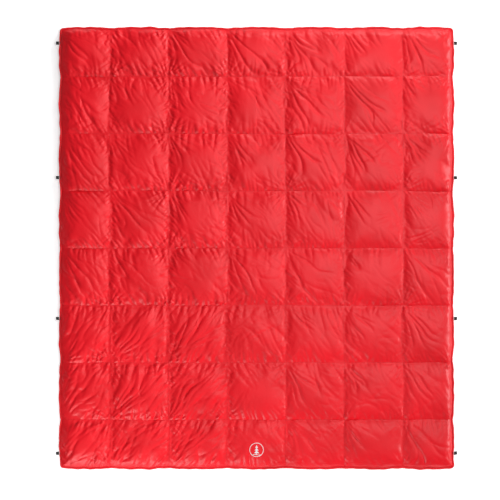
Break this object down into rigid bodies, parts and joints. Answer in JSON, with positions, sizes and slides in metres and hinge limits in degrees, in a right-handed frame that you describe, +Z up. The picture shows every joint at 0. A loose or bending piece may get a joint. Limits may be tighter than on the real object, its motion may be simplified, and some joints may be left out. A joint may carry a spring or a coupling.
{
  "type": "camp blanket",
  "caption": "Two-person quilted camp blanket: box-baffled nylon cover with loose fill, bound edge, side loops and a printed badge; it folds along its row seams.",
  "frame": {"origin": "centre of the blanket's outline, on the surface it lies on", "axes": "+Y towards the head end, +X to the right seen from above, +Z up out of the face"},
  "size_m": [1.9354, 2.134, 0.0566],
  "materials": {
    "face_nylon": "satin woven nylon, calendered",
    "lining_nylon": "matt woven nylon",
    "binding_nylon": "folded woven nylon",
    "baffle_mesh": "fine tulle mesh",
    "fill": "loose clusters",
    "loop_webbing": "ribbed narrow webbing",
    "tack_thread": "dense satin stitch",
    "quilting_thread": "lock stitch",
    "silver_print": "heat-transferred ink"
  },
  "bodies": {
    "head_section": {"face_fabric_head": "face_nylon", "lining_head": "lining_nylon", "edge_binding_head_left": "binding_nylon", "edge_binding_head_right": "binding_nylon", "baffle_grid_head": "baffle_mesh", "fill_row_1": "fill", "fill_row_2": "fill", "quilting_thread_1": "quilting_thread", "bartack_left_1": "tack_thread", "bartack_right_1": "tack_thread", "fold_baffle_1": "baffle_mesh", "quilting_thread_2": "quilting_thread", "edge_binding_head_end": "binding_nylon"},
    "upper_section": {"face_fabric_upper": "face_nylon", "lining_upper": "lining_nylon", "edge_binding_upper_left": "binding_nylon", "edge_binding_upper_right": "binding_nylon", "baffle_grid_upper": "baffle_mesh", "fill_row_3": "fill", "fill_row_4": "fill", "quilting_thread_3": "quilting_thread", "bartack_left_2": "tack_thread", "bartack_right_2": "tack_thread", "fold_baffle_2": "baffle_mesh", "quilting_thread_4": "quilting_thread"},
    "lower_section": {"face_fabric_lower": "face_nylon", "lining_lower": "lining_nylon", "edge_binding_lower_left": "binding_nylon", "edge_binding_lower_right": "binding_nylon", "baffle_grid_lower": "baffle_mesh", "fill_row_5": "fill", "fill_row_6": "fill", "quilting_thread_5": "quilting_thread", "bartack_left_3": "tack_thread", "bartack_right_3": "tack_thread", "fold_baffle_3": "baffle_mesh", "quilting_thread_6": "quilting_thread"},
    "foot_section": {"face_fabric_foot": "face_nylon", "lining_foot": "lining_nylon", "edge_binding_foot_left": "binding_nylon", "edge_binding_foot_right": "binding_nylon", "baffle_grid_foot": "baffle_mesh", "fill_row_7": "fill", "fill_row_8": "fill", "quilting_thread_7": "quilting_thread", "bartack_left_4": "tack_thread", "bartack_right_4": "tack_thread", "edge_binding_foot_end": "binding_nylon", "printed_mark": "silver_print"},
    "left_loop_1": {"loop_left_1": "loop_webbing"},
    "left_loop_2": {"loop_left_2": "loop_webbing"},
    "left_loop_3": {"loop_left_3": "loop_webbing"},
    "left_loop_4": {"loop_left_4": "loop_webbing"},
    "right_loop_1": {"loop_right_1": "loop_webbing"},
    "right_loop_2": {"loop_right_2": "loop_webbing"},
    "right_loop_3": {"loop_right_3": "loop_webbing"},
    "right_loop_4": {"loop_right_4": "loop_webbing"}
  },
  "joints": [
    {"name": "fold_head", "type": "hinge", "parent": "head_section", "child": "upper_section", "pos_m": [0, 0.551, 0.061], "axis": [-1, 0, 0], "range_deg": [0, 178]},
    {"name": "fold_middle", "type": "hinge", "parent": "upper_section", "child": "lower_section", "pos_m": [0, 0, -0.001], "axis": [1, 0, 0], "range_deg": [0, 178]},
    {"name": "fold_foot", "type": "hinge", "parent": "lower_section", "child": "foot_section", "pos_m": [0, -0.551, 0.061], "axis": [-1, 0, 0], "range_deg": [0, 178]},
    {"name": "left_loop_1_bend", "type": "hinge", "parent": "head_section", "child": "left_loop_1", "pos_m": [-0.9545, 0.99, 0.027], "axis": [0, 1, 0], "range_deg": [-85, 85]},
    {"name": "left_loop_2_bend", "type": "hinge", "parent": "upper_section", "child": "left_loop_2", "pos_m": [-0.9545, 0.34, 0.027], "axis": [0, 1, 0], "range_deg": [-85, 85]},
    {"name": "left_loop_3_bend", "type": "hinge", "parent": "lower_section", "child": "left_loop_3", "pos_m": [-0.9545, -0.34, 0.027], "axis": [0, 1, 0], "range_deg": [-85, 85]},
    {"name": "left_loop_4_bend", "type": "hinge", "parent": "foot_section", "child": "left_loop_4", "pos_m": [-0.9545, -0.99, 0.027], "axis": [0, 1, 0], "range_deg": [-85, 85]},
    {"name": "right_loop_1_bend", "type": "hinge", "parent": "head_section", "child": "right_loop_1", "pos_m": [0.9545, 0.99, 0.027], "axis": [0, -1, 0], "range_deg": [-85, 85]},
    {"name": "right_loop_2_bend", "type": "hinge", "parent": "upper_section", "child": "right_loop_2", "pos_m": [0.9545, 0.34, 0.027], "axis": [0, -1, 0], "range_deg": [-85, 85]},
    {"name": "right_loop_3_bend", "type": "hinge", "parent": "lower_section", "child": "right_loop_3", "pos_m": [0.9545, -0.34, 0.027], "axis": [0, -1, 0], "range_deg": [-85, 85]},
    {"name": "right_loop_4_bend", "type": "hinge", "parent": "foot_section", "child": "right_loop_4", "pos_m": [0.9545, -0.99, 0.027], "axis": [0, -1, 0], "range_deg": [-85, 85]}
  ],
  "couplings": [
    {"joint": "fold_middle", "follows": "fold_head", "ratio": 1},
    {"joint": "fold_foot", "follows": "fold_head", "ratio": 1}
  ]
}
